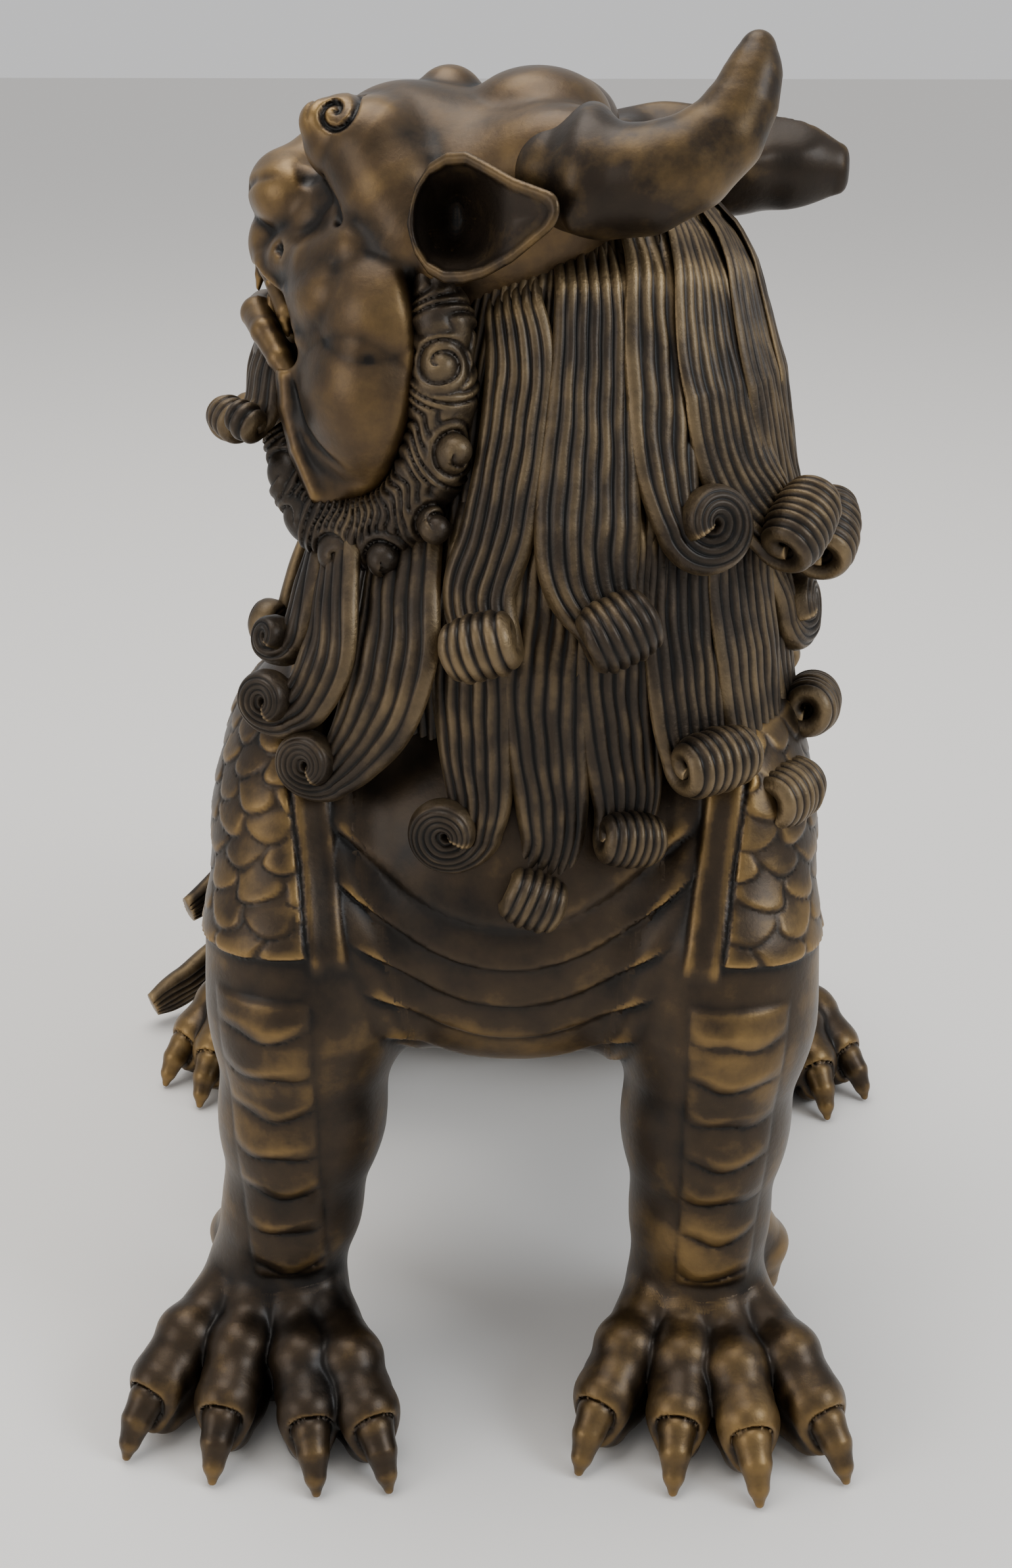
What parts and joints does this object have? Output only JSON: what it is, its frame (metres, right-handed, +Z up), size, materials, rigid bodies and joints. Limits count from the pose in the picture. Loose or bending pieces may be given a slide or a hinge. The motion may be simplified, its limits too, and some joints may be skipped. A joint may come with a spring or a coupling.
{
  "type": "foo dog statue",
  "caption": "Cast bronze guardian lion seated on its haunches, horned head turned to its right, with a curled mane, scaled shoulders and clawed paws.",
  "frame": {"origin": "on the surface it stands on, at the middle of the bounding box", "axes": "+Z up, -Y the way the chest faces, +X the lion's own left"},
  "size_m": [0.1882, 0.2242, 0.2539],
  "materials": {
    "mane_bronze": "chased parallel strands, near-black in the grooves, golden on the rubbed curls",
    "body_bronze": "dark brown patina, semi-gloss wax, rubbed lighter on the raised bands",
    "face_bronze": "smooth warm brown patina, golden on the brow, nose and cheeks",
    "leg_bronze": "smooth brown patina with rubbed scutes down the front",
    "paw_bronze": "brown patina worn to gold on the knuckles and claws",
    "horn_ear_bronze": "smooth brown patina, polished towards the tips",
    "beard_bronze": "chased strands and small curls, dark in the grooves",
    "tail_bronze": "chased strands, dark in the grooves"
  },
  "bodies": {
    "root": {"neck_shell": "mane_bronze", "torso_shell": "body_bronze", "core_plug": "body_bronze", "head_shell": "face_bronze", "lower_jaw": "face_bronze", "left_foreleg": "leg_bronze", "left_fore_paw": "paw_bronze", "left_haunch": "leg_bronze", "left_hind_paw": "paw_bronze", "left_horn": "horn_ear_bronze", "left_ear": "horn_ear_bronze", "left_cheek_ruff": "beard_bronze", "right_foreleg": "leg_bronze", "right_fore_paw": "paw_bronze", "right_haunch": "leg_bronze", "right_hind_paw": "paw_bronze", "right_horn": "horn_ear_bronze", "right_ear": "horn_ear_bronze", "right_cheek_ruff": "beard_bronze", "tail_root": "tail_bronze", "beard_lock_1": "beard_bronze", "beard_lock_2": "beard_bronze", "beard_lock_3": "beard_bronze", "beard_lock_4": "beard_bronze", "beard_lock_5": "beard_bronze", "tail_lock_1": "tail_bronze", "tail_lock_2": "tail_bronze", "tail_lock_3": "tail_bronze", "tail_lock_4": "tail_bronze", "chin_beard": "beard_bronze", "mane_lock_upper_1": "mane_bronze", "mane_lock_upper_2": "mane_bronze", "mane_lock_upper_3": "mane_bronze", "mane_lock_upper_4": "mane_bronze", "mane_lock_upper_5": "mane_bronze", "mane_lock_upper_6": "mane_bronze", "mane_lock_upper_7": "mane_bronze", "mane_lock_upper_8": "mane_bronze", "mane_lock_upper_9": "mane_bronze", "mane_lock_upper_10": "mane_bronze", "mane_lock_lower_1": "mane_bronze", "mane_lock_lower_2": "mane_bronze", "mane_lock_lower_3": "mane_bronze", "mane_lock_lower_4": "mane_bronze", "mane_lock_lower_5": "mane_bronze", "mane_lock_lower_6": "mane_bronze", "mane_lock_lower_7": "mane_bronze", "mane_lock_lower_8": "mane_bronze", "mane_lock_lower_9": "mane_bronze", "mane_lock_lower_10": "mane_bronze", "mane_lock_lower_11": "mane_bronze"}
  },
  "joints": []
}
